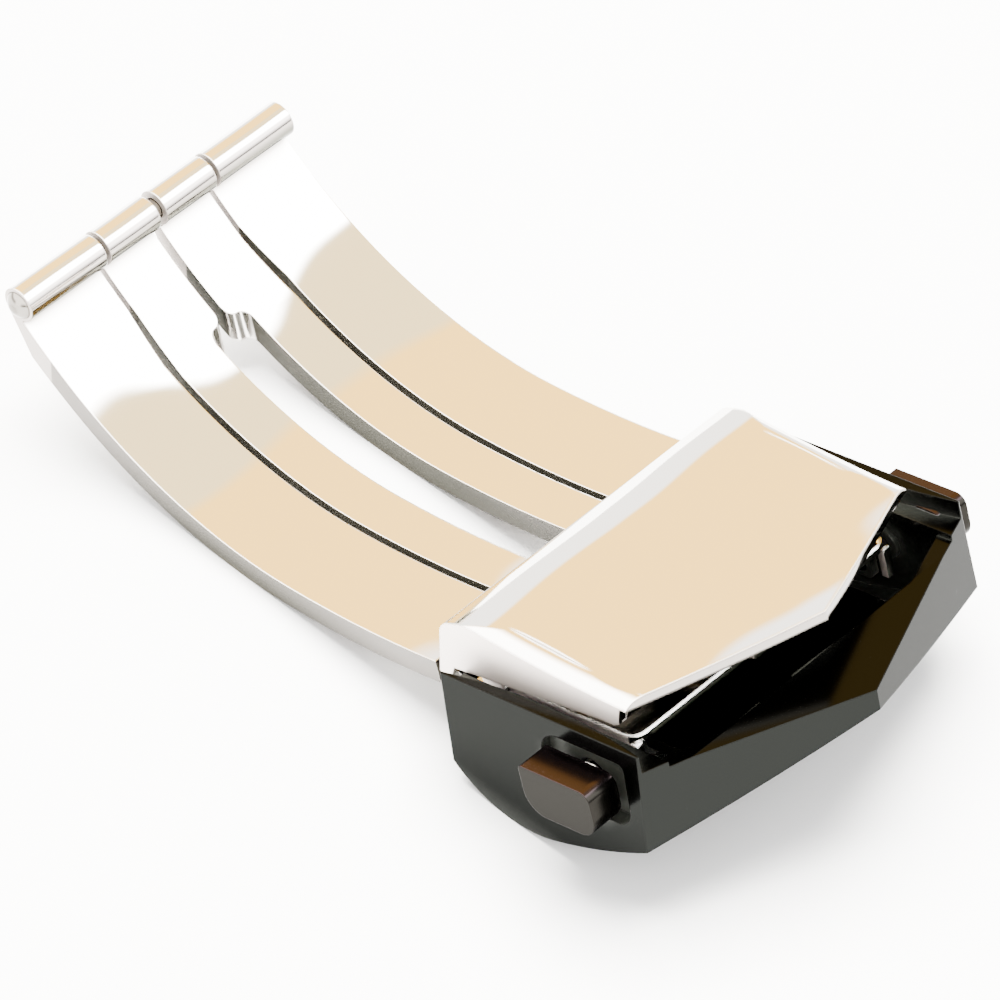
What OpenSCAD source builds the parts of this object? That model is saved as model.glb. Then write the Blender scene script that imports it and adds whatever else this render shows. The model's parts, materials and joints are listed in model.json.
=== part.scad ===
/* [Blades] */
// Radius of the long sweep that the blades make along the wrist
sweep_r = 57; // [48:1:75]
// Radius of the tighter sweep towards the main hinge
tail_r = 23.5; // [21:0.5:27]
// Where the blades' top is lowest, behind the case's rim corner
sweep_back = 5.2; // [4.4:0.1:6]
// How far that lowest point lies under the case's rim
sweep_drop = 1.45; // [1.3:0.05:1.6]
// Angle along the long sweep at which the tighter one takes over
tail_from = 7.9; // [6:0.1:10]
// Angle from straight down round to the main hinge
hinge_turn = 58.5; // [52:0.5:61]
// Thickness of the blades
blade_t = 1.3; // [1.1:0.05:1.45]
// Width over the fork's arms at the main hinge
fork_tail_w = 18.6; // [16:0.2:19.4]
// Width over the fork's arms where they meet the case
fork_head_w = 19.66; // [18.8:0.1:19.8]
// Width over the two inner strips
strips_w = 8.08; // [6.4:0.1:9.4]
// Gap between an inner strip and the fork's arm
strip_gap = 0.38; // [0.2:0.02:0.6]
// Width of the long slot between the inner strips
slot_w = 2.66; // [1.6:0.1:3.4]
// Width of the slit that splits the inner knuckle
slit_w = 0.5; // [0.3:0.05:0.9]
// How far in front of the hinge axis the slot widens
slot_start = 3.8; // [3.6:0.1:6]

/* [Main hinge] */
// Diameter of the hinge tube
tube_d = 1.95; // [1.9:0.05:2.4]
// How deep the tube sinks into the blades' top
tube_sink = 0.38; // [0.3:0.02:0.6]
// Turn from the hinge back to where the underside closes on the tube
wrap_turn = 6.2; // [5:0.2:8]
// Width of the inner knuckle
knuckle_w = 7.5; // [6:0.1:7.9]
// Play between the knuckles along the pin
knuckle_gap = 0.28; // [0.1:0.02:0.3]
// Diameter of the hinge pin
main_pin_d = 1.1; // [0.8:0.05:1.3]
// Diameter of the pin's domed heads
pin_head_d = 1.58; // [1.4:0.02:1.8]
// Height of the pin's domed heads
pin_head_h = 0.45; // [0.25:0.05:0.6]

/* [Case] */
// Width over the rim
case_w = 23; // [22.6:0.1:25]
// Lean of the side walls, outwards and down
side_flare = 4; // [0:0.5:6]
// Length from the rear edge to the tip of the V
case_tip = 17.86; // [17.4:0.05:18.6]
// Angle of the V's two faces
case_v = 21.8; // [18:0.2:23]
// Lean of the V's faces, inwards and down
v_lean = 2; // [0:0.5:4]
// Lean of the rear edge, backwards and down
rear_lean = 2.2; // [0:0.2:4]
// Radius of the outside of the bottom
bottom_r = 32; // [28:0.5:38]
// Where the bottom's sweep is centred, ahead of the rear edge
bottom_x = 1.07; // [0.6:0.05:1.6]
// Depth of the bottom's sweep under the rim
bottom_drop = 7.9; // [7.7:0.05:8.6]
// Radius that rounds the bottom's rear end
rear_round = 7; // [6:0.25:8]
// Angle along the bottom's sweep at which that rounding starts
round_from = 9.2; // [8:0.2:10.4]
// Thickness of the floor
floor_t = 0.9; // [0.6:0.05:1.1]
// Width of the pocket that the jaw and the fork lie in
pocket_w = 20.2; // [20.1:0.05:20.6]
// Width of the rim at its widest
rim_w = 0.75; // [0.5:0.05:0.9]
// Width of the rim at its two ends
rim_end = 0.1; // [0.05:0.05:0.3]
// Depth of the ledge under the rim
ledge_drop = 1; // [0.8:0.05:1.15]
// Where the lip starts, ahead of the rear edge
lip_x = 14.2; // [14:0.05:14.6]
// Depth of the lip's inner edge under the rim
lip_drop = 1.3; // [1.15:0.05:1.5]
// Slope of the lip, downwards to the tip
lip_slope = 11.6; // [8:0.2:14]
// Width of the way out for the strap under the blades
strap_exit_w = 18.4; // [16:0.2:19]
// How far that way out is cut into the floor
strap_exit = 1.5; // [0.8:0.1:2]
// Thickness of the walls behind the V's faces
v_wall = 0.9; // [0.7:0.05:1]

/* [Case hinge] */
// Where the fork's hinge lies, ahead of the rear edge
hinge_x = 13.4; // [13.3:0.05:13.45]
// How deep it lies under the rim
hinge_drop = 4.1; // [4:0.05:4.15]
// Diameter of the fork's barrel on that hinge
barrel_d = 1.4; // [1.3:0.05:1.45]
// Width of the fork's barrel
barrel_w = 14.6; // [10:0.2:15]
// Diameter of the hinge pin
case_pin_d = 0.8; // [0.6:0.05:0.85]
// Depth of the pin's ends in the side walls' bosses
case_pin_seat = 2.1; // [1.2:0.1:2.2]

/* [Push buttons] */
// Rear end of a button, ahead of the rear edge
button_x = 6.8; // [6.6:0.05:7]
// Length of a button
button_l = 4.7; // [4.5:0.05:5]
// Depth of a button's top under the rim
button_drop = 1.6; // [1.5:0.05:1.8]
// Height of a button
button_h = 2.75; // [2.5:0.05:3]
// How far a button stands out of the side wall
button_out = 1.9; // [1.4:0.05:2.2]
// Travel of a button
button_travel = 0.5; // [0.3:0.05:0.52]
// Depth of the recess round a button
recess_deep = 0.62; // [0.56:0.02:0.66]
// Room in the recess behind a button
recess_rear = 0.3; // [0.15:0.05:0.4]
// Room in the recess ahead of a button
recess_front = 0.65; // [0.3:0.05:0.8]
// Room in the recess over a button
recess_top = 0.72; // [0.3:0.02:0.76]
// Diameter of a button's stem
stem_d = 0.9; // [0.7:0.05:1]
// Diameter of the spring's bore
spring_bore_d = 1.9; // [1.7:0.05:2.1]
// Thickness of the spring's wire
button_wire_d = 0.2; // [0.14:0.02:0.26]

/* [Jaw cover] */
// Width over the cover
cover_w = 20; // [19.6:0.05:20.05]
// Thickness of its sheet
cover_t = 0.55; // [0.45:0.05:0.65]
// Where the V's tip lies, ahead of the case's rear edge
cover_tip = 15.37; // [15.1:0.05:15.6]
// Angle of the V's two edges
cover_v = 21.9; // [20:0.2:24]
// Where the cover is highest, ahead of the rear edge
crest_x = 2.3; // [1.8:0.1:3]
// Height of the crest over the case's rim
crest_h = 2.2; // [2:0.05:2.5]
// Radius of the top behind the crest
back_r = 9; // [7:0.5:14]
// Radius of the top ahead of the crest
front_r = 30; // [25:1:40]
// Angle that the front arc turns before it bends up
front_turn = 9.4; // [8:0.2:11]
// Radius of the upward bend to the V's edge
dip_r = 25; // [20:1:32]
// Radius of the roll along the cover's side edges
roll_r = 1.2; // [0.8:0.05:1.4]
// How far in from the side that roll starts
roll_w = 0.95; // [0.5:0.05:1]
// Radius of the path that the roll follows along the side
roll_path_r = 90; // [70:5:120]
// Slope of that path at the V's corner, downwards to the front
roll_slope = 2.3; // [1.5:0.1:3]
// How far the cover reaches behind the case's rear edge
cover_back = 1.75; // [1.6:0.05:1.9]
// Lean of the cover's rear wall
rear_wall_lean = 15; // [12:0.5:17]
// Radius of the rear wall's bend into the top
rear_bend_r = 1; // [0.8:0.05:1.3]
// Depth of the cover's rear ears under the rim
ear_drop = 1.7; // [1.5:0.05:1.8]
// Diameter of the cover's two hinge pins
cover_pin_d = 0.56; // [0.4:0.02:0.6]

/* [Jaw plate] */
// Width of the plate
plate_w = 18.14; // [17.4:0.1:18.4]
// Where the plate's front edge lies, ahead of the rear edge
plate_front = 10.4; // [10.2:0.05:10.8]
// Depth of the plate's top under the rim
plate_drop = 1.7; // [1.65:0.05:1.75]
// Thickness of the plate
plate_t = 0.45; // [0.35:0.05:0.5]
// Radius of the plate's front corners
plate_corner = 0.8; // [0.4:0.1:1.5]
// Width of the tongue in the middle of the front edge
tongue_w = 2.2; // [1.4:0.1:4]
// Length of that tongue
tongue_l = 0.4; // [0.2:0.05:0.6]
// Number of ridges on the strap grip
grip_ridges = 3; // [2:1:4]
// Height of a ridge
ridge_h = 0.5; // [0.3:0.05:0.7]

/* [Strap bar] */
// Where the bar lies, ahead of the rear edge
bar_x = 5.2; // [4.8:0.05:5.6]
// Depth of the bar under the rim
bar_drop = 5.05; // [4.95:0.05:5.2]
// Diameter of the bar's tube
bar_d = 1.3; // [1.1:0.05:1.5]
// Wall of the bar's tube
bar_wall = 0.2; // [0.15:0.01:0.22]
// Diameter of a tip
bar_tip_d = 0.7; // [0.5:0.05:0.75]
// How deep a tip reaches into its hole
bar_tip_seat = 0.6; // [0.4:0.05:0.8]

/* [Fits] */
// Radial clearance of a pin in a part that turns on it
run_fit = 0.04; // [0.02:0.01:0.06]
// Clearance between parts that pass each other
pass_gap = 0.15; // [0.1:0.01:0.2]

/* [Hidden] */
$fn = 64;

// Colours, as the photograph shows them
pvd_black = [0.16, 0.16, 0.15];
pvd_brown = [0.42, 0.27, 0.18];
polished = [0.90, 0.88, 0.84];
spring_grey = [0.62, 0.62, 0.60];

far = 80;      // longer than any part of the clasp
eps = 0.01;    // lets a cut run past a face

// Everything is drawn in the rim's own frame: X forwards from the rear edge,
// Z up from the rim's top, Y across. laid() then sets the clasp on a table.

function dir(a) = [cos(a), sin(a)];

// Centres of the blades' two sweeps, seen from the side
sweep_c = [-sweep_back, sweep_r - sweep_drop];
tail_c = sweep_c + (sweep_r - tail_r) * dir(270 - tail_from);
tube_r = tube_d / 2;
tube_c = tail_c + (tail_r - tube_r + tube_sink) * dir(270 - hinge_turn);

function blade_top(x) = sweep_c[1] - sqrt(pow(sweep_r, 2) - pow(x - sweep_c[0], 2));
function blade_under(x) = sweep_c[1] - sqrt(pow(sweep_r + blade_t, 2) - pow(x - sweep_c[0], 2));

// Where the underside leaves its sweep, and where it touches the tube
wrap_p = tail_c + (tail_r + blade_t) * dir(270 - hinge_turn + wrap_turn);
wrap_d = norm(tube_c - wrap_p);
wrap_a = atan2(tube_c[1] - wrap_p[1], tube_c[0] - wrap_p[0]) + asin(tube_r / wrap_d);
wrap_t = wrap_p + sqrt(pow(wrap_d, 2) - pow(tube_r, 2)) * dir(wrap_a);
tie_l = 0.8;

// Centres of the case's bottom
bottom_c = [bottom_x, bottom_r - bottom_drop];
rear_c = bottom_c + (bottom_r - rear_round) * dir(270 + round_from);

function bottom_z(x) = bottom_c[1] - sqrt(pow(bottom_r, 2) - pow(x - bottom_c[0], 2));

// The clasp lies on the case's rear rounding and on the blades' tail sweep
lay_a = rear_c - tail_c;
lay_tilt = asin((rear_round - tail_r - blade_t) / norm(lay_a)) - atan2(lay_a[1], lay_a[0]);
function laid_x(p) = p[0] * cos(lay_tilt) - p[1] * sin(lay_tilt);
function laid_z(p) = p[0] * sin(lay_tilt) + p[1] * cos(lay_tilt);
v_slope = tan(v_lean) / cos(case_v);
tip_low = [case_tip + bottom_z(case_tip) * v_slope, bottom_z(case_tip)];
lay_mid = (laid_x(tip_low) + laid_x(tube_c) - tube_r) / 2;
lay_lift = rear_round - laid_z(rear_c);

// Half widths of the blades, from the middle outwards
strip_y = strips_w / 2;
arm_y = strip_y + strip_gap;
knuckle_y = knuckle_w / 2;
outer_knuckle_y = knuckle_y + knuckle_gap;
tube_end_y = fork_tail_w / 2;

// The rim's corner at the V, and the wall that the buttons pass
rim_l = case_tip - case_w / 2 * tan(case_v);
pocket_y = pocket_w / 2;
button_z = -button_drop;
stem_c = [button_x + button_l / 2, -button_drop - button_h / 2];
wall_y = case_w / 2 + button_drop * tan(side_flare);
recess_y = wall_y - recess_deep;
button_y = wall_y + button_out;
stem_r = stem_d / 2;
spring_r = spring_bore_d / 2;
spring_seat_y = pocket_y + 0.25;
head_in_y = recess_y + button_travel + pass_gap;
spring_end_y = button_y - 0.9;

// The latch behind each button: a retainer on the wall, a hook behind the jaw's lug
lug_t = plate_t;
lug_y = plate_w / 2;
retainer_t = 0.3;
retainer_y = pocket_y - 0.04;
hook_t = 0.45;
hook_y = lug_y - lug_t - pass_gap;

// The jaw
cover_y = cover_w / 2;
plate_z = -plate_drop;
plate_under = plate_z - plate_t;
pad_t = 0.6;
plate_rear = 0.3;
cover_pin = [-0.5, -0.45];
cover_pin_r = cover_pin_d / 2;
ear_y = cover_y - cover_t;
pivot_lug_y = ear_y - pass_gap;
pivot_lug_t = 0.55;
pivot_lug_r = cover_pin_r + 0.16;

// The fork under the jaw
under_z = plate_under - 0.45;
under_t = 0.9;
fork_in_y = hook_y - hook_t - button_travel - pass_gap;
case_pivot = [hinge_x, -hinge_drop];
barrel_r = barrel_d / 2;
barrel_y = barrel_w / 2;
boss_y = barrel_y + knuckle_gap;
barrel_room = 0.1;
tab_half = 0.5;
tab_top = case_pivot[1] + tab_half;
case_pin_end = boss_y + case_pin_seat;

// The strap bar
bar_c = [bar_x, -bar_drop];
bar_r = bar_d / 2;
bar_in_r = bar_r - bar_wall;
bar_tip_r = bar_tip_d / 2;
bar_end_y = pocket_y - 1.4;
bar_tip_y = pocket_y + bar_tip_seat;
bar_travel = bar_tip_seat + pass_gap;

module laid() {
    translate([-lay_mid, 0, lay_lift]) rotate([0, -lay_tilt, 0]) children();
}

// Draws a profile that is seen from the side over the width from y0 to y1
module across(y0, y1) {
    translate([0, y1, 0]) rotate([90, 0, 0]) linear_extrude(y1 - y0) union() children();
}

// Draws a plan, seen from above, through the whole height of the clasp
module through() {
    translate([0, 0, -far]) linear_extrude(2 * far) union() children();
}

module rod(c, r, y0, y1) {
    across(y0, y1) translate(c) circle(r);
}

module both_sides() {
    children();
    mirror([0, 1, 0]) children();
}

module both_halves() {
    children();
    mirror([0, 1]) children();
}

// A rectangle with its own radius at each corner: rear low, front low, front high, rear high
module soft_rect(x0, z0, x1, z1, r) {
    polygon([
        [x0 + r[0], z0], [x1 - r[1], z0], [x1, z0 + r[1]], [x1, z1 - r[2]],
        [x1 - r[2], z1], [x0 + r[3], z1], [x0, z1 - r[3]], [x0, z0 + r[0]]
    ]);
    translate([x0 + r[0], z0 + r[0]]) circle(r[0]);
    translate([x1 - r[1], z0 + r[1]]) circle(r[1]);
    translate([x1 - r[2], z1 - r[2]]) circle(r[2]);
    translate([x0 + r[3], z1 - r[3]]) circle(r[3]);
}

module wedge(c, a0, a1) {
    polygon([c, c + far * dir(a0), c + far * dir((a0 + a1) / 2), c + far * dir(a1)]);
}

module band(c, r) {
    difference() {
        translate(c) circle(r + blade_t, $fn = 180);
        translate(c) circle(r, $fn = 180);
    }
}

// The blades' common section: the hinge tube, the tail sweep and the long sweep,
// with a small block that ties the sweeps where they meet
module blade_section(x_end) {
    intersection() {
        band(tail_c, tail_r);
        wedge(tail_c, 270 - hinge_turn, 270 - tail_from);
        polygon([
            wrap_p - far * dir(wrap_a), wrap_p + far * dir(wrap_a),
            wrap_p + far * dir(wrap_a) + [far, 0], wrap_p - far * dir(wrap_a) + [far, 0]
        ]);
    }
    polygon([wrap_p, wrap_t, tube_c]);
    translate(tube_c) circle(tube_r);
    intersection() {
        band(sweep_c, sweep_r);
        wedge(sweep_c, 270 - tail_from, 300);
        translate([x_end - far, -far]) square([far, 2 * far]);
    }
    translate(sweep_c) rotate(270 - tail_from) translate([sweep_r + blade_t / 4, -tie_l / 2])
        square([blade_t / 2, tie_l]);
}

// Plan of one arm of the fork, on the left, from the hinge to the joggle
module arm_plan() {
    knuckle_x = tube_c[0] + 1.4;
    spread_x = knuckle_x + 2.4;
    polygon([
        [tube_c[0] - 3, outer_knuckle_y], [knuckle_x, outer_knuckle_y], [spread_x, arm_y],
        [arm_end, arm_y], [arm_end, fork_head_w / 2], [knuckle_x, tube_end_y],
        [tube_c[0] - 3, tube_end_y]
    ]);
}

// Where the fork steps down under the jaw, clear of the cover's ears
arm_end = -cover_back - 0.65;
neck_y = pivot_lug_y;
step_end = arm_end + 1.5;
cross_x = 3.6;
cross_corner = 1.2;
tab_x = case_pivot[0] - 4.8;
tab_rise = 0.9;
tab_y = fork_in_y - 0.45;
tab_t = 0.75;

module fork_step_section() {
    polygon([
        [arm_end - 0.3, blade_top(arm_end - 0.3)], [arm_end + 0.2, blade_top(arm_end)],
        [step_end, under_z], [tab_x - tab_rise, under_z], [tab_x, tab_top], [case_pivot[0], tab_top],
        [case_pivot[0], case_pivot[1] - tab_half], [case_pivot[0] - barrel_d, tab_top - tab_t],
        [tab_x - tab_rise / 3, tab_top - tab_t], [tab_x - tab_rise * 4 / 3, under_z - under_t],
        [step_end - 0.4, under_z - under_t], [arm_end - 0.3, blade_under(arm_end - 0.3)]
    ]);
}

// Plan of the fork under the jaw: two necks that run together into the hinge tab
module fork_head_plan() {
    both_halves() {
        polygon([
            [arm_end - 0.3, arm_y], [cross_x - cross_corner, arm_y], [cross_x, arm_y - cross_corner], [cross_x, 0],
            [case_pivot[0], 0], [case_pivot[0], tab_y], [cross_x, tab_y],
            [0.8, neck_y], [arm_end - 0.3, neck_y]
        ]);
    }
}

module outer_fork() {
    color(polished) laid() difference() {
        union() {
            intersection() {
                across(-far, far) blade_section(arm_end);
                through() both_halves() arm_plan();
            }
            intersection() {
                across(-far, far) fork_step_section();
                through() fork_head_plan();
            }
            rod(case_pivot, barrel_r, -barrel_y, barrel_y);
        }
        rod(tube_c, main_pin_d / 2, -far, far);
        rod(case_pivot, case_pin_d / 2 + run_fit, -far, far);
    }
}

module pin_head() {
    dome_r = (pow(pin_head_d / 2, 2) + pow(pin_head_h, 2)) / (2 * pin_head_h);
    intersection() {
        translate([tube_c[0], tube_end_y + pin_head_h - dome_r, tube_c[1]]) sphere(dome_r);
        rod(tube_c, pin_head_d / 2, tube_end_y, tube_end_y + far);
    }
}

module main_hinge_pin() {
    color(polished) laid() {
        rod(tube_c, main_pin_d / 2, -tube_end_y - eps, tube_end_y + eps);
        both_sides() pin_head();
    }
}

// Slot between the inner strips: a slit through the knuckle, then an S on each side
module slot_plan() {
    slot_x = tube_c[0] + slot_start;
    step_r = (slot_w - slit_w) / 4;
    translate([tube_c[0] - 3, -slit_w / 2]) square([slot_start + 3.5, slit_w]);
    soft_rect(slot_x, -slot_w / 2, pad_step + 1.6, slot_w / 2, [step_r, slot_w / 2.1, slot_w / 2.1, step_r]);
    both_halves() difference() {
        translate([slot_x - step_r, slit_w / 2 - eps]) square([step_r + eps, step_r + eps]);
        translate([slot_x - step_r, slit_w / 2 + step_r]) circle(step_r);
    }
}

// Where the inner blade steps down to the pad that carries the jaw plate
pad_step = -cover_back - 0.4;
pad_end = cross_x - 0.4;
pad_corner = 0.8;
rivet_r = 0.4;
pad_rivets = [for (x = [plate_rear + 0.8, pad_end - 0.8], y = [-1, 1]) [x, y * (strip_y + slot_w / 2) / 2]];

module strip_plan() {
    both_halves() polygon([
        [tube_c[0] - 3, 0], [tube_c[0] - 3, knuckle_y], [tube_c[0] + 1.8, knuckle_y],
        [tube_c[0] + 4.6, strip_y], [pad_end - pad_corner, strip_y],
        [pad_end, strip_y - pad_corner], [pad_end, 0]
    ]);
}

module rivet_holes() {
    for (p = pad_rivets) translate([p[0], p[1], -far]) cylinder(r = rivet_r, h = 2 * far);
}

module inner_blade() {
    color(polished) laid() difference() {
        union() {
            intersection() {
                across(-far, far) difference() {
                    blade_section(pad_step + 0.6);
                    translate([pad_step, plate_under]) square([far, far]);
                }
                through() difference() {
                    strip_plan();
                    slot_plan();
                }
            }
            intersection() {
                across(-strip_y, strip_y) translate([pad_step - 0.3, plate_under - pad_t])
                    square([pad_end - pad_step + 0.3, pad_t]);
                through() difference() {
                    strip_plan();
                    slot_plan();
                }
            }
        }
        rod(tube_c, main_pin_d / 2 + run_fit, -far, far);
        rivet_holes();
    }
}

module plate_rivets() {
    color(polished) laid() for (p = pad_rivets)
        translate([p[0], p[1], plate_under - pad_t]) cylinder(r = rivet_r, h = pad_t + plate_t);
}

// Ear of the jaw plate that the cover turns on, seen from the side
module pivot_lug_section() {
    translate(cover_pin) circle(pivot_lug_r);
    polygon([
        cover_pin + [0, pivot_lug_r], cover_pin + [1, pivot_lug_r], [1.8, plate_z], [1.8, plate_under],
        [plate_rear, plate_under], [plate_rear - 0.1, -1.3], cover_pin - [0, pivot_lug_r]
    ]);
}

// Lug of the jaw plate that the latch hook stands behind, open downwards for the stem
module catch_lug_section() {
    lug_drop = stem_r + 0.45;
    difference() {
        polygon([
            [stem_c[0] - 2.25, plate_under + eps], [plate_front - 0.05, plate_under + eps],
            [plate_front - 0.05, stem_c[1] - lug_drop], [stem_c[0] - 1.9, stem_c[1] - lug_drop]
        ]);
        soft_rect(
            stem_c[0] - stem_r - 0.55, -far, stem_c[0] + stem_r + 0.3, stem_c[1] + stem_r + 0.12,
            [0.3, 0.3, 0.3, 0.3]
        );
    }
}

grip_x = plate_front - 5.6;
grip_l = 3.6;
grip_base = 0.28;
grip_y = pivot_lug_y - pivot_lug_t - 1.2;
grip_rivet_x = grip_x + grip_l / (2 * grip_ridges);
grip_rivet_y = grip_y - 0.8;
grip_rivet_r = 0.3;

module grip_rivet_holes() {
    for (y = [-1, 1]) translate([grip_rivet_x, y * grip_rivet_y, -far]) cylinder(r = grip_rivet_r, h = 2 * far);
}

module jaw_plate() {
    color(polished) laid() difference() {
        union() {
            translate([0, 0, plate_under]) linear_extrude(plate_t) union() {
                soft_rect(
                    plate_rear, -lug_y, plate_front, lug_y,
                    [0.2, plate_corner, plate_corner, 0.2]
                );
                soft_rect(plate_front - 1, -tongue_w / 2, plate_front + tongue_l, tongue_w / 2,
                    [0.1, 0.15, 0.15, 0.1]);
            }
            both_sides() across(pivot_lug_y - pivot_lug_t, pivot_lug_y) pivot_lug_section();
            both_sides() across(lug_y - lug_t, lug_y) catch_lug_section();
        }
        rod(cover_pin, cover_pin_r, -far, far);
        rivet_holes();
        grip_rivet_holes();
    }
}

module strap_grip() {
    pitch = grip_l / grip_ridges;
    color(polished) laid() difference() {
        union() {
            across(-grip_y, grip_y) translate([grip_x, plate_z]) square([grip_l, grip_base]);
            for (i = [0:grip_ridges - 1]) across(-grip_y, grip_y)
                translate([grip_x + i * pitch, plate_z + grip_base / 2])
                    polygon([[pitch * 0.5, 0], [pitch * 0.8, grip_base / 2 + ridge_h], [pitch * 0.95, 0]]);
        }
        grip_rivet_holes();
    }
}

module grip_rivets() {
    color(polished) laid() for (y = [-1, 1])
        translate([grip_rivet_x, y * grip_rivet_y, plate_under])
            cylinder(r = grip_rivet_r, h = plate_t + grip_base);
}

// The cover's outline from the side. Each arc passes the next by `lap` where they meet,
// so that the surfaces cross instead of merely touching.
lap = 0.0005;
crest_c = [crest_x, crest_h - front_r];
back_c = [crest_x, crest_h - back_r];
dip_c = crest_c + (front_r - 2 * lap + dip_r) * dir(90 - front_turn);
rear_wall_drop = 1.15;
rear_wall_off = 1.65 * tan(rear_wall_lean) + rear_bend_r / cos(rear_wall_lean);
back_turn = asin((crest_x + cover_back - rear_wall_off) / (back_r - rear_bend_r));
wall_top = back_c + (back_r - rear_bend_r) * dir(90 + back_turn);
wall_side = 180 - rear_wall_lean;
cover_v_x = cover_tip - cover_y * tan(cover_v);
side_front = cover_v_x - 0.6;
side_low = -0.25;

// Everything under the cover's top, moved in by inset: dip, crest, back, rear bend and rear wall
module cover_mass(half, inset) {
    wall_p = wall_top + (rear_bend_r - inset) * dir(wall_side);
    across(-half, half) difference() {
        wedge(dip_c, 270 - front_turn, 284);
        translate(dip_c) circle(dip_r + inset, $fn = 240);
        translate([-far, -far - 6]) square([2 * far, far]);
    }
    across(-half, half) intersection() {
        translate(crest_c) circle(front_r - lap - inset, $fn = 240);
        wedge(crest_c, 88 - front_turn, 90);
    }
    across(-half, half) intersection() {
        translate(back_c) circle(back_r - inset, $fn = 180);
        wedge(back_c, 85, 90 + back_turn);
    }
    rod(wall_top, rear_bend_r - inset + lap, -half, half);
    across(-half, half) polygon([
        wall_p, wall_p + 6 * dir(wall_side + 90), back_c, wall_top
    ]);
}

// What the roll takes off the cover's edge: deepest at the V, running out behind the crest
module cover_roll() {
    roll_y = cover_y - roll_w;
    corner = [cover_v_x, dip_c[1] - sqrt(pow(dip_r, 2) - pow(cover_v_x - dip_c[0], 2))];
    path_c = corner + roll_path_r * dir(90 - roll_slope);
    intersection() {
        translate([path_c[0], 0, path_c[1]]) rotate([90, 0, 0]) rotate_extrude($fn = 240) difference() {
            translate([roll_path_r - 2, roll_y]) square([roll_r + 2, 2]);
            translate([roll_path_r + roll_r, roll_y]) circle(roll_r);
        }
        across(-far, far) polygon([[-4, crest_h - 2.4], [cover_tip, 0], [cover_tip, 4], [-4, 4]]);
    }
}

// The edge that the cover's side walls reach down to, with the ears that hang behind the case
cover_low = [
    [-cover_back - 1, -ear_drop + 0.95], [-cover_back - 0.1, -ear_drop],
    [-cover_back + 0.6, -ear_drop], [-cover_back + 0.95, -1.05],
    [side_front - 1.4, side_low], [side_front - 0.5, side_low], [side_front - 0.1, side_low + 0.2],
    [side_front, side_low + 0.6], [cover_v_x, crest_h]
];

module cover_side_plan() {
    polygon(concat(cover_low, [[crest_x, crest_h + 1], [-cover_back - 1, crest_h + 1]]));
}

// What is left out under that edge
module cover_under_plan() {
    polygon(concat([for (i = [0:6]) cover_low[i]], [[far, side_low + 0.2], [far, -far], [-far, -far], [-far, -ear_drop + 0.95]]));
}

module v_plan(tip, angle, back) {
    reach = 14;
    polygon([[tip, 0], [tip - reach * tan(angle), reach], [-back, reach], [-back, -reach],
        [tip - reach * tan(angle), -reach]]);
}

module jaw_cover() {
    color(polished) laid() difference() {
        intersection() {
            union() cover_mass(cover_y, 0);
            through() v_plan(cover_tip, cover_v, 6);
        }
        difference() {
            union() cover_mass(cover_y + 1, cover_t);
            both_sides() across(ear_y, cover_y + 2) cover_side_plan();
        }
        across(-far, far) cover_under_plan();
        across(-ear_y, ear_y) translate([-far, -far - rear_wall_drop]) square([2 * far, far]);
        both_sides() cover_roll();
        both_sides() rod(cover_pin, cover_pin_r + run_fit, ear_y - eps, cover_y - 0.12);
    }
}

module cover_pin_body() {
    rod(cover_pin, cover_pin_r, pivot_lug_y - pivot_lug_t, cover_y - 0.15);
}

module cover_pin_left() {
    color(polished) laid() cover_pin_body();
}

module cover_pin_right() {
    color(polished) laid() mirror([0, 1, 0]) cover_pin_body();
}

// Where the walls behind the V are cut down to the lip
lip_rear = lip_x - 2.2;

// Region inside the case's bottom, seen from the side and moved in by inset
module bottom_section(inset) {
    intersection() {
        translate(bottom_c) circle(bottom_r - inset, $fn = 240);
        wedge(bottom_c, 270 + round_from, 330);
    }
    translate(rear_c) circle(rear_round - inset, $fn = 120);
}

module case_block() {
    side_h = 12;
    difference() {
        intersection() {
            across(-far, far) intersection() {
                bottom_section(0);
                polygon([[0, 0], [far, 0], [far, -far], [-far * tan(rear_lean), -far]]);
            }
            rotate([90, 0, 90]) linear_extrude(far, center = true) polygon([
                [-case_w / 2, 0], [case_w / 2, 0],
                [case_w / 2 + side_h * tan(side_flare), -side_h],
                [-case_w / 2 - side_h * tan(side_flare), -side_h]
            ]);
        }
        both_sides() translate([case_tip, 0, 0]) rotate([0, 0, case_v]) rotate([0, v_lean, 0])
            translate([0, -far / 2, -far / 2]) cube([far, far, far]);
    }
}

// What the rim's top leaves open: straight across the ends, bulging in between them
module rim_plan() {
    bulge = rim_w - rim_end;
    bulge_r = (pow(rim_l / 2, 2) + pow(bulge, 2)) / (2 * bulge);
    difference() {
        translate([-far, -case_w / 2 + rim_end]) square([2 * far, case_w - 2 * rim_end]);
        both_halves() translate([rim_l / 2, case_w / 2 - rim_w + bulge_r]) circle(bulge_r, $fn = 240);
    }
}

module hinge_boss_section() {
    boss_r = barrel_r + barrel_room;
    translate(case_pivot) circle(boss_r);
    polygon([
        case_pivot - [boss_r, 0], case_pivot + [0, boss_r], [lip_x + 1, case_pivot[1] + boss_r],
        [lip_x + 1, -far], case_pivot - [boss_r, far]
    ]);
}

module recess_section() {
    soft_rect(
        button_x - recess_rear, button_z - button_h - 0.2,
        button_x + button_l + recess_front, button_z + recess_top, [1.3, 1, 0.35, 1.25]
    );
}

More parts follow.
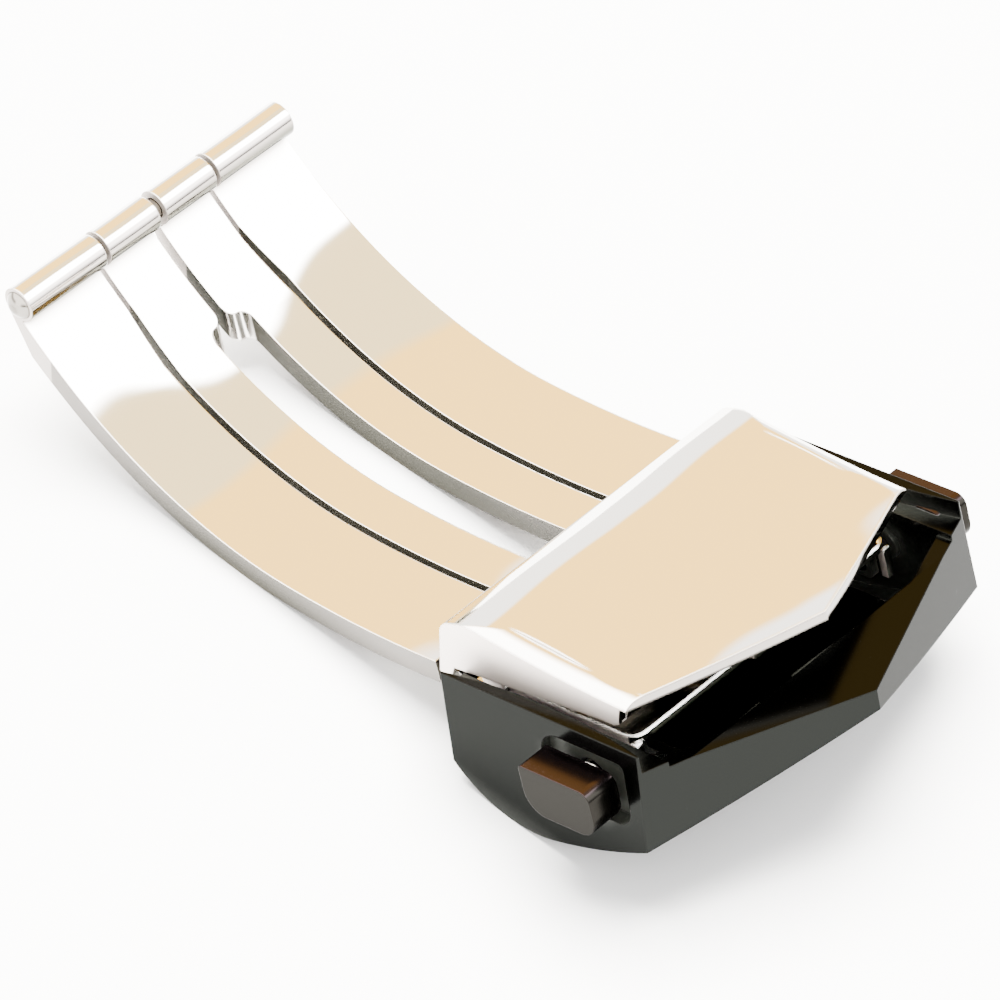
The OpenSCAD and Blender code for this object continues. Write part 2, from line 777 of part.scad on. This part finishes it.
module case_shell() {
    color(pvd_black) laid() difference() {
        case_block();
        translate([0, 0, -ledge_drop]) linear_extrude(far) rim_plan();
        difference() {
            across(-pocket_y, pocket_y) intersection() {
                bottom_section(floor_t);
                translate([-far, -far]) square([far + lip_x, 2 * far]);
            }
            both_sides() across(boss_y, far) hinge_boss_section();
            both_sides() translate([case_tip - v_wall / cos(case_v), 0, 0]) rotate([0, 0, case_v])
                rotate([0, v_lean, 0]) translate([0, -far / 2, -far / 2]) cube([far, far, far]);
        }
        rod(case_pivot, barrel_r + barrel_room, -boss_y, boss_y);
        across(-pocket_y, pocket_y) translate([lip_x, -lip_drop]) rotate(-lip_slope) square(far);
        across(-pocket_y, pocket_y) translate([lip_rear, -lip_drop]) square([lip_x + 1 - lip_rear, far]);
        across(-strap_exit_w / 2, strap_exit_w / 2) translate([-far, -far]) square([far + strap_exit, far - 3.4]);
        both_sides() across(recess_y, far) recess_section();
        both_sides() rod(stem_c, spring_r, spring_seat_y, far);
        rod(stem_c, stem_r + run_fit, -far, far);
        rod(case_pivot, case_pin_d / 2, -case_pin_end, case_pin_end);
        rod(bar_c, bar_tip_r + run_fit, -bar_tip_y - run_fit, bar_tip_y + run_fit);
    }
}

module case_hinge_pin() {
    color(pvd_black) laid() rod(case_pivot, case_pin_d / 2, -case_pin_end + run_fit, case_pin_end - run_fit);
}

module push_button_body() {
    across(head_in_y, button_y) difference() {
        soft_rect(button_x, button_z - button_h, button_x + button_l, button_z, [1.25, 1.15, 0.6, 0.2]);
        translate(stem_c) circle(spring_r);
    }
    rod(stem_c, spring_r, spring_end_y, button_y);
    rod(stem_c, stem_r, hook_y - hook_t, spring_end_y + eps);
}

module push_button_left() {
    color(pvd_brown) laid() push_button_body();
}

module push_button_right() {
    color(pvd_brown) laid() mirror([0, 1, 0]) push_button_body();
}

module button_retainer_body() {
    across(retainer_y - retainer_t, retainer_y) difference() {
        translate(stem_c) circle(stem_r + 0.4);
        translate(stem_c) circle(stem_r);
    }
}

module button_retainer_left() {
    color(pvd_black) laid() button_retainer_body();
}

module button_retainer_right() {
    color(pvd_black) laid() mirror([0, 1, 0]) button_retainer_body();
}

module latch_hook_body() {
    across(hook_y - hook_t, hook_y) difference() {
        soft_rect(
            stem_c[0] - 0.75, stem_c[1] - 0.75, stem_c[0] + 0.75, plate_under - pass_gap,
            [0.3, 0.3, 0.1, 0.1]
        );
        translate(stem_c) circle(stem_r);
    }
}

module latch_hook_left() {
    color(pvd_black) laid() latch_hook_body();
}

module latch_hook_right() {
    color(pvd_black) laid() mirror([0, 1, 0]) latch_hook_body();
}

// A coil along Y, as one tube of six sides
module coil(c, r, wire_d, y0, y1, turns) {
    steps = ceil(turns * 10);
    sides = 6;
    points = [
        for (i = [0:steps], k = [0:sides - 1])
            let (a = 360 * turns * i / steps, b = 360 * k / sides, q = r + wire_d / 2 * cos(b))
            [
                c[0] + q * cos(a),
                y0 + wire_d / 2 + (y1 - y0 - wire_d) * i / steps + wire_d / 2 * sin(b),
                c[1] + q * sin(a)
            ]
    ];
    walls = [
        for (i = [0:steps - 1], k = [0:sides - 1])
            let (n = i * sides, m = (k + 1) % sides)
            each [[n + k, n + m, n + sides + m], [n + k, n + sides + m, n + sides + k]]
    ];
    first = [for (k = [sides - 1:-1:0]) k];
    last = [for (k = [0:sides - 1]) steps * sides + k];
    polyhedron(points, concat(walls, [first, last]));
}

module button_spring_body() {
    coil(stem_c, (stem_r + spring_r) / 2 + 0.02, button_wire_d, spring_seat_y + 0.02, spring_end_y - 0.02, 4);
}

module button_spring_left() {
    color(spring_grey) laid() button_spring_body();
}

module button_spring_right() {
    color(spring_grey) laid() mirror([0, 1, 0]) button_spring_body();
}

bar_flange_t = 0.4;
bar_flange_y = bar_end_y - 0.55;
bar_lip_y = bar_end_y - 0.35;
bar_spring_y = bar_flange_y - bar_flange_t;

module strap_bar_tube() {
    color(spring_grey) laid() difference() {
        rod(bar_c, bar_r, -bar_end_y, bar_end_y);
        rod(bar_c, bar_in_r, -bar_lip_y, bar_lip_y);
        rod(bar_c, bar_tip_r + run_fit, -far, far);
    }
}

module strap_bar_spring() {
    bar_wire_d = 0.14;
    color(spring_grey) laid() coil(
        bar_c, bar_in_r - bar_wire_d / 2 - 0.03, bar_wire_d,
        -bar_spring_y + 0.02, bar_spring_y - 0.02, 16
    );
}

module strap_bar_tip_body() {
    rod(bar_c, bar_in_r - run_fit, bar_flange_y - bar_flange_t, bar_flange_y);
    rod(bar_c, bar_tip_r, bar_flange_y - eps, bar_tip_y);
    rod(bar_c, bar_r, bar_end_y + bar_travel + 0.02, bar_end_y + bar_travel + 0.22);
}

module strap_bar_tip_left() {
    color(spring_grey) laid() strap_bar_tip_body();
}

module strap_bar_tip_right() {
    color(spring_grey) laid() mirror([0, 1, 0]) strap_bar_tip_body();
}

case_shell();
case_hinge_pin();
strap_bar_tube();
strap_bar_spring();
strap_bar_tip_left();
strap_bar_tip_right();
push_button_left();
push_button_right();
button_spring_left();
button_spring_right();
button_retainer_left();
button_retainer_right();
latch_hook_left();
latch_hook_right();
outer_fork();
main_hinge_pin();
inner_blade();
jaw_plate();
plate_rivets();
strap_grip();
grip_rivets();
jaw_cover();
cover_pin_left();
cover_pin_right();
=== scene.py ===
import json
import math

import bpy
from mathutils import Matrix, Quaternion, Vector

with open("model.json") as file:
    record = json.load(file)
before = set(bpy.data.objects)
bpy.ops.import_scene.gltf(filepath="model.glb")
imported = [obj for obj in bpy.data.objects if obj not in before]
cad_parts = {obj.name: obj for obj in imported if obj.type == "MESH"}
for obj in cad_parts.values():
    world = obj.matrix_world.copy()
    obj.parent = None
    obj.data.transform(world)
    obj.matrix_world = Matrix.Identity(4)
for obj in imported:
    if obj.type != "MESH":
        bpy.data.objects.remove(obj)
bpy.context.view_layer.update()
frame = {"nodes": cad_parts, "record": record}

# A Mix node's colour sockets share their names with its other sockets, so they go by number
mixShare, mixUnder, mixOver, mixColour = 0, 6, 7, 2


def linearColour(hexColour):
    # sRGB hex to the linear values that the shaders take
    parts = [int(hexColour[i:i + 2], 16) / 255 for i in (1, 3, 5)]
    return [p / 12.92 if p <= 0.04045 else ((p + 0.055) / 1.055) ** 2.4 for p in parts] + [1]


def addNode(tree, kind, settings=None, links=None):
    # settings give a value to a property, or to a socket by its name or number
    # links give a socket, by its name or number, the output that feeds it
    node = tree.nodes.new(kind)
    for key, value in (settings or {}).items():
        if isinstance(key, int) or key in node.inputs:
            node.inputs[key].default_value = value
        else:
            setattr(node, key, value)
    for key, output in (links or {}).items():
        tree.links.new(output, node.inputs[key])
    return node


# The camera stands where the photograph was taken from, with a long lens
camera = {
    "place": (0.1846, -0.19919, 0.29207),  # m
    "target": (0.000608, -0.000436, 0.004968),
    "roll": 0.765,  # degrees
    "lens": 289.06,  # mm
    "sensor": 36,  # mm wide
    "clip": (0.01, 10),  # m
}


def placeCamera(values):
    cam = bpy.data.objects.new("camera", bpy.data.cameras.new("camera"))
    bpy.context.scene.collection.objects.link(cam)
    cam.data.lens = values["lens"]
    cam.data.sensor_width = values["sensor"]
    cam.data.clip_start, cam.data.clip_end = values["clip"]
    look = Vector(values["target"]) - Vector(values["place"])
    roll = Quaternion((0, 0, 1), math.radians(values["roll"]))
    cam.location = values["place"]
    cam.rotation_mode = "QUATERNION"
    cam.rotation_quaternion = look.to_track_quat("-Z", "Y") @ roll
    bpy.context.scene.camera = cam


placeCamera(camera)
print("camera placed")

# Matt white paper: no mirror image, only the clasp's soft shadow
floor = {"size": 3.0, "colour": "#FAFAFA", "roughness": 0.9, "shine": 0.1}


def makeFloor(values):
    half = values["size"] / 2
    corners = [(-half, -half, 0), (half, -half, 0), (half, half, 0), (-half, half, 0)]
    mesh = bpy.data.meshes.new("floor")
    mesh.from_pydata(corners, [], [(0, 1, 2, 3)])
    obj = bpy.data.objects.new("floor", mesh)
    bpy.context.scene.collection.objects.link(obj)
    paper = bpy.data.materials.new("matt white paper")
    paper.use_nodes = True
    shader = paper.node_tree.nodes["Principled BSDF"]
    shader.inputs["Base Color"].default_value = linearColour(values["colour"])
    shader.inputs["Roughness"].default_value = values["roughness"]
    shader.inputs["Specular IOR Level"].default_value = values["shine"]
    mesh.materials.append(paper)


makeFloor(floor)
print("floor laid")

# What the polish mirrors. Lights are a colour and a strength. Places round the room go from 0,
# level in front of the clasp, over the top at 0.5, to 1 behind it. Spans are the directions between
# which something fades in, as parts of a unit vector.
room = {
    "front": ("#FFFFFF", 17.0),
    "ceiling": ("#FFFFFF", 22.0),  # white, and it ends over the clasp
    "edge": ("#FFE3A8", 3.4),  # where it ends
    "warm": ("#FCCB6E", 4.6),  # the wall behind, on the strap's side
    "ceilingFrom": 0.3,
    "ceilingEnd": 0.435,
    "ceilingFade": 0.012,
    "warmStart": 0.60,
    "warmFade": 0.03,
    "side": ("#FFFBF6", 15.0),  # the wall on the camera's side
    "sideSpan": (-0.15, 0.26),
    "fill": ("#FFFFFF", 2.1),  # what the room adds to matt surfaces
}
screens = {
    # paper that sweeps up under the warm wall
    "sweep": {"light": ("#FFFAF4", 4.3), "along": (-0.2, -0.4), "height": (0.31, 0.27)},
    # a dark gap low in front, which draws the thin dark lines
    "gap": {"light": ("#403C38", 0.5), "along": (0.2, 0.4), "height": (0.38, 0.06)},
}


def lightColour(light):
    colour, strength = light
    return [c * strength for c in linearColour(colour)[:3]] + [1]


def makeRoom(values, screens):
    world = bpy.data.worlds.new("room")
    bpy.context.scene.world = world
    world.use_nodes = True
    tree = world.node_tree
    tree.nodes.clear()
    place = addNode(tree, "ShaderNodeTexCoord")
    ahead = addNode(tree, "ShaderNodeSeparateXYZ", links={"Vector": place.outputs["Generated"]})
    turn = addNode(tree, "ShaderNodeMath", {"operation": "ARCTAN2"},
                   {0: ahead.outputs["Z"], 1: ahead.outputs["X"]})
    share = addNode(tree, "ShaderNodeMath", {"operation": "DIVIDE", 1: math.pi}, {0: turn.outputs[0]})
    ramp = addNode(tree, "ShaderNodeValToRGB", links={"Fac": share.outputs[0]})
    stops = ramp.color_ramp.elements
    stops[0].position, stops[0].color = 0, lightColour(values["front"])
    stops[1].position, stops[1].color = 1, lightColour(values["warm"])
    for at, part in (
        (values["ceilingFrom"], "ceiling"),
        (values["ceilingEnd"] - values["ceilingFade"], "ceiling"),
        (values["ceilingEnd"], "edge"),
        (values["warmStart"] - values["warmFade"], "edge"),
        (values["warmStart"], "warm"),
    ):
        stops.new(at).color = lightColour(values[part])
    low, high = values["sideSpan"]
    wall = addNode(tree, "ShaderNodeMapRange", {"From Min": low, "From Max": high},
                   {"Value": ahead.outputs["Y"]})
    seen = addNode(tree, "ShaderNodeMix", {"data_type": "RGBA", mixUnder: lightColour(values["side"])},
                   {mixShare: wall.outputs["Result"], mixOver: ramp.outputs["Color"]})
    for screen in screens.values():
        fades = []
        for axis, (start, end) in (("X", screen["along"]), ("Z", screen["height"])):
            fades.append(addNode(tree, "ShaderNodeMapRange", {"From Min": start, "From Max": end},
                                 {"Value": ahead.outputs[axis]}))
        both = addNode(tree, "ShaderNodeMath", {"operation": "MULTIPLY"},
                       {0: fades[0].outputs["Result"], 1: fades[1].outputs["Result"]})
        seen = addNode(tree, "ShaderNodeMix", {"data_type": "RGBA", mixOver: lightColour(screen["light"])},
                       {mixShare: both.outputs[0], mixUnder: seen.outputs[mixColour]})
    mirrored = addNode(tree, "ShaderNodeBackground", links={"Color": seen.outputs[mixColour]})
    fill = addNode(tree, "ShaderNodeBackground", {"Color": lightColour(values["fill"])})
    ray = addNode(tree, "ShaderNodeLightPath")
    either = addNode(tree, "ShaderNodeMixShader", links={
        0: ray.outputs["Is Diffuse Ray"], 1: mirrored.outputs["Background"], 2: fill.outputs["Background"],
    })
    addNode(tree, "ShaderNodeOutputWorld", links={"Surface": either.outputs["Shader"]})


makeRoom(room, screens)

# The large soft box over the clasp lights the paper. The polish doesn't mirror it.
softBox = {
    "place": (-0.5, 0.5, 1.8),  # m
    "size": 1.7,
    "watts": 560,
    "colour": "#FFFDF8",
}


def makeSoftBox(values):
    lamp = bpy.data.lights.new("soft box", "AREA")
    lamp.size = values["size"]
    lamp.energy = values["watts"]
    lamp.color = linearColour(values["colour"])[:3]
    obj = bpy.data.objects.new("soft box", lamp)
    bpy.context.scene.collection.objects.link(obj)
    obj.location = values["place"]
    obj.rotation_euler = (-Vector(values["place"])).to_track_quat("-Z", "Y").to_euler()
    obj.visible_glossy = False


makeSoftBox(softBox)
print("lights set")

# Directions on the clasp
forward = (1, 0, 0)
across = (0, 1, 0)
caseUp = (-0.283, 0, 0.959)  # the case lies tilted
caseDown = [-part for part in caseUp]
forwardDown = (0.707, 0, -0.707)

# Rays per shading point that look for hidden sky and for near edges
skySamples, edgeSamples = 8, 6


def fade(span):
    # a smooth step from 0 at the first value to 1 at the second
    start, end = span
    return {"interpolation_type": "SMOOTHSTEP", "From Min": start, "From Max": end}


def whereFacing(tree, direction, span, bothWays=False):
    # where faces look along a direction of the clasp, the span in cosines
    place = addNode(tree, "ShaderNodeTexCoord")
    turned = addNode(tree, "ShaderNodeVectorMath", {"operation": "DOT_PRODUCT", 1: direction},
                     {0: place.outputs["Normal"]}).outputs["Value"]
    if bothWays:
        turned = addNode(tree, "ShaderNodeMath", {"operation": "ABSOLUTE"}, {0: turned}).outputs[0]
    facing = addNode(tree, "ShaderNodeMapRange", fade(span), {"Value": turned})
    return facing.outputs["Result"]


def wherePast(tree, direction, span):
    # past a place along a direction of the clasp, the span in metres
    place = addNode(tree, "ShaderNodeTexCoord")
    along = addNode(tree, "ShaderNodeVectorMath", {"operation": "DOT_PRODUCT", 1: direction},
                    {0: place.outputs["Object"]})
    past = addNode(tree, "ShaderNodeMapRange", fade(span), {"Value": along.outputs["Value"]})
    return past.outputs["Result"]


def whereShut(tree, reach, span):
    # where neighbours within reach, in mm, hide the sky, the span in shares of free sky
    sky = addNode(tree, "ShaderNodeAmbientOcclusion", {"Distance": reach / 1000, "samples": skySamples})
    shut = addNode(tree, "ShaderNodeMapRange", fade(span), {"Value": sky.outputs["AO"]})
    return shut.outputs["Result"]


def layColours(tree, shader, ground, layers):
    # the ground colour, then one layer over another, each only where all its masks meet
    under = addNode(tree, "ShaderNodeRGB")
    under.outputs[0].default_value = linearColour(ground)
    colour = under.outputs[0]
    for masks, over in layers:
        share = masks[0]
        for mask in masks[1:]:
            meet = addNode(tree, "ShaderNodeMath", {"operation": "MULTIPLY"}, {0: share, 1: mask})
            share = meet.outputs[0]
        layer = addNode(tree, "ShaderNodeMix", {"data_type": "RGBA", mixOver: linearColour(over)},
                        {mixShare: share, mixUnder: colour})
        colour = layer.outputs[mixColour]
    tree.links.new(colour, shader.inputs["Base Color"])


def varySocket(tree, shader, socket, share, plain, changed):
    # a shader value that goes from plain to changed with the share
    mixed = addNode(tree, "ShaderNodeMix", {"A": plain, "B": changed}, {"Factor": share})
    tree.links.new(mixed.outputs["Result"], shader.inputs[socket])


def newMetal(name, values):
    metal = bpy.data.materials.new(name)
    metal.use_nodes = True
    shader = metal.node_tree.nodes["Principled BSDF"]
    shader.inputs["Metallic"].default_value = 1
    shader.inputs["Roughness"].default_value = values["roughness"]
    # the small round that tumbling and polishing leave on every edge
    edge = addNode(metal.node_tree, "ShaderNodeBevel",
                   {"samples": edgeSamples, "Radius": values["edge"] / 1000})
    metal.node_tree.links.new(edge.outputs["Normal"], shader.inputs["Normal"])
    return metal, metal.node_tree, shader, edge


# Stainless steel, machine polished on its broad faces. It mirrors the room with slow waves from the
# wheel, drawn higher than real so that they show. Narrow flanks are a soft satin, painted a darker grey
# as painted shade for the dim floor they mirror, and painted shade darkens the tight gaps.
polish = {
    "colour": "#F2EFEA", "roughness": 0.05,
    "edge": 0.12, "waveLength": 9.0, "waveHeight": 0.9,  # mm
    # flanks: a satin roughness, and a darker grey that is painted shade
    "flank": "#D2C9C3", "flankRoughness": 0.55, "flankSpan": (0.9, 0.985),
    # painted shade: a darker grey where a flank faces another one
    "shade": "#B5ADA8", "shadeReach": 2.5, "shadeSpan": (0.95, 0.5),  # flanks that face another one
    "inside": "#F2EFEA", "insideReach": 3.0, "insideSpan": (0.55, 0.3),  # faces that are shut in
    # painted shade: a dark olive in the tight gaps between parts
    "grime": "#565246", "grimeReach": 0.6, "grimeSpan": (0.8, 0.35),
}


def newPolish(name, values):
    metal, tree, shader, edge = newMetal(name, values)
    place = addNode(tree, "ShaderNodeTexCoord")
    wave = addNode(tree, "ShaderNodeTexNoise", {"Scale": 1000 / values["waveLength"], "Detail": 0},
                   {"Vector": place.outputs["Object"]})
    relief = addNode(tree, "ShaderNodeBump", {"Strength": 1, "Distance": values["waveHeight"] / 1000},
                     {"Height": wave.outputs["Fac"], "Normal": edge.outputs["Normal"]})
    tree.links.new(relief.outputs["Normal"], shader.inputs["Normal"])
    flank = whereFacing(tree, across, values["flankSpan"], bothWays=True)
    varySocket(tree, shader, "Roughness", flank, values["roughness"], values["flankRoughness"])
    # painted shade on faces that neighbours shut in
    layers = [([whereShut(tree, values["insideReach"], values["insideSpan"])], values["inside"])]
    if "undersideSpan" in values:
        # painted shade on faces that look down
        layers.append(([whereFacing(tree, caseDown, values["undersideSpan"])], values["inside"]))
    layers += [
        # painted shade: a darker grey on the flanks, for the dim floor they mirror
        ([flank], values["flank"]),
        # painted shade on flanks that face another one
        ([flank, whereShut(tree, values["shadeReach"], values["shadeSpan"])], values["shade"]),
        # painted shade in the tight gaps between parts
        ([whereShut(tree, values["grimeReach"], values["grimeSpan"])], values["grime"]),
    ]
    if "front" in values:
        layers.append(([whereFacing(tree, forward, values["frontSpan"])], values["front"]))
    # painted shade on the knuckles' lower side
    if "low" in values:
        knuckle = wherePast(tree, forward, values["knuckleSpan"])
        for part in ("low", "lowest"):
            turnedDown = whereFacing(tree, forwardDown, values[part + "Span"])
            layers.append(([knuckle, turnedDown], values[part]))
    if "black" in values:
        layers.append(([wherePast(tree, forward, values["blackSpan"])], values["black"]))
    layColours(tree, shader, values["colour"], layers)
    return metal


# The cover is polished outside. Its underside, and its faces shut in under it, carry painted shade:
# dull and dark. Its V front was cut and polished crosswise, which gives a plain grey edge.
coverPolish = dict(
    polish, edge=0.2, waveHeight=0.45, inside="#2B2820",
    undersideSpan=(0.2, 0.6), front="#7F7A76", frontSpan=(0.55, 0.8),
)
# The jaw plate carries the same painted shade as the cover's underside, but its rolled front edge shines
platePolish = dict(coverPolish, edge=0.35, insideSpan=(0.42, 0.22), front="#F2EFEA")
# The hinge pin is turned steel with a greyer gloss
pinPolish = dict(
    polish, colour="#7A7670", roughness=0.14, waveHeight=0.3, flank="#66625C", flankRoughness=0.3,
)
# The blades' flanks stay as they were cut, rougher, with a duller grey that is painted shade for the dim
# floor they mirror, darker still inside the slots. The rolled knuckles carry painted shade, darker
# towards their lower side.
knuckles = {"length": 0.0031, "fade": 0.0001}  # m


def bladePolish(node):
    start = min(corner[0] for corner in frame["nodes"][node].bound_box)
    knuckleEnd = start + knuckles["length"]
    return dict(
        # painted shade: the flanks' duller grey, darker still in the slots
        polish, flank="#6E6A66", shade="#34332C", shadeReach=4.5,
        # painted shade on shut-in faces
        inside="#8E8680", insideReach=1.6, insideSpan=(0.9, 0.45),
        # painted shade on the knuckles, darkest on their lowest side
        low="#A09994", lowSpan=(-0.12, 0), lowest="#45453C", lowestSpan=(0.15, 0.8),
        knuckleSpan=(knuckleEnd + knuckles["fade"], knuckleEnd),
    )


# The fork's foot, which lies in the case, turns near black past this place
forkPolish = dict(bladePolish("outer_fork"), black="#151611", blackSpan=(0.0085, 0.009))  # m

# Black PVD, a hard coat a few thousandths of a millimetre thick on polished steel. It is nearly
# black, dark grey in a flat look, and pinkish brown on the rim, which was turned to the arc source.
blackCoat = {
    "colour": "#131413", "edgeTint": "#C3C3C3", "roughness": 0.16, "edge": 0.1,  # mm
    "top": "#4B3E45", "topSpan": (0.6, 0.95), "rimSpan": (0.0076, 0.0078),  # m along the case's up
    # where the steel under the coat is only milled
    "inside": "#262824", "insideRoughness": 0.45, "insideMetallic": 0.4,
    "insideReach": 3.0, "insideSpan": (0.75, 0.3),
}
# The same coat in brown, on the buttons
brownCoat = {
    "colour": "#141311", "edgeTint": "#C8C8C8", "roughness": 0.2, "edge": 0.08,
    "top": "#30282B", "topSpan": (0.6, 0.95),
    "inside": "#1C1A18", "insideRoughness": 0.3, "insideMetallic": 0.8,
    "insideReach": 1.0, "insideSpan": (0.75, 0.3),
}


def newCoat(name, values):
    metal, tree, shader, edge = newMetal(name, values)
    shader.inputs["Specular Tint"].default_value = linearColour(values["edgeTint"])
    top = [whereFacing(tree, caseUp, values["topSpan"])]
    if "rimSpan" in values:
        top.append(wherePast(tree, caseUp, values["rimSpan"]))
    shut = whereShut(tree, values["insideReach"], values["insideSpan"])
    layColours(tree, shader, values["colour"], [(top, values["top"]), ([shut], values["inside"])])
    varySocket(tree, shader, "Roughness", shut, values["roughness"], values["insideRoughness"])
    varySocket(tree, shader, "Metallic", shut, 1, values["insideMetallic"])
    return metal


# Carbon steel wire, left as drawn: a dull grey gloss with fine streaks, drawn coarser than real
springWire = {"colour": "#B4B2AC", "roughness": 0.3, "drawn": 0.45, "streak": 0.4, "edge": 0.02}  # mm


def newSpringWire(name, values):
    metal, tree, shader, edge = newMetal(name, values)
    shader.inputs["Base Color"].default_value = linearColour(values["colour"])
    place = addNode(tree, "ShaderNodeTexCoord")
    streak = addNode(tree, "ShaderNodeTexNoise", {"Scale": 1000 / values["streak"], "Detail": 2},
                     {"Vector": place.outputs["Object"]})
    varySocket(tree, shader, "Roughness", streak.outputs["Fac"], values["roughness"], values["drawn"])
    return metal


# By the record's material slot, and by node where a piece has a finish of its own
finishes = {
    "polished_steel": newPolish("mirror polished stainless steel", polish),
    "black_pvd": newCoat("black PVD coat on polished steel", blackCoat),
    "spring_steel": newSpringWire("drawn spring wire", springWire),
}
buttonFinish = newCoat("brown PVD coat on the buttons", brownCoat)
ownFinishes = {
    "outer_fork": newPolish("mirror polished steel with a black foot", forkPolish),
    "inner_blade": newPolish("mirror polished steel with cut flanks and painted shade", bladePolish("inner_blade")),
    "main_hinge_pin": newPolish("turned and polished steel", pinPolish),
    "jaw_cover": newPolish("mirror polished steel with painted shade underneath", coverPolish),
    "jaw_plate": newPolish("mirror polished steel with rolled edges", platePolish),
    "push_button_left": buttonFinish,
    "push_button_right": buttonFinish,
}
slots = {part["node"]: part["material_slot"] for part in frame["record"]["subparts"]}
for name, obj in frame["nodes"].items():
    obj.data.materials.clear()
    obj.data.materials.append(ownFinishes.get(name, finishes[slots[name]]))
print("finishes put on")
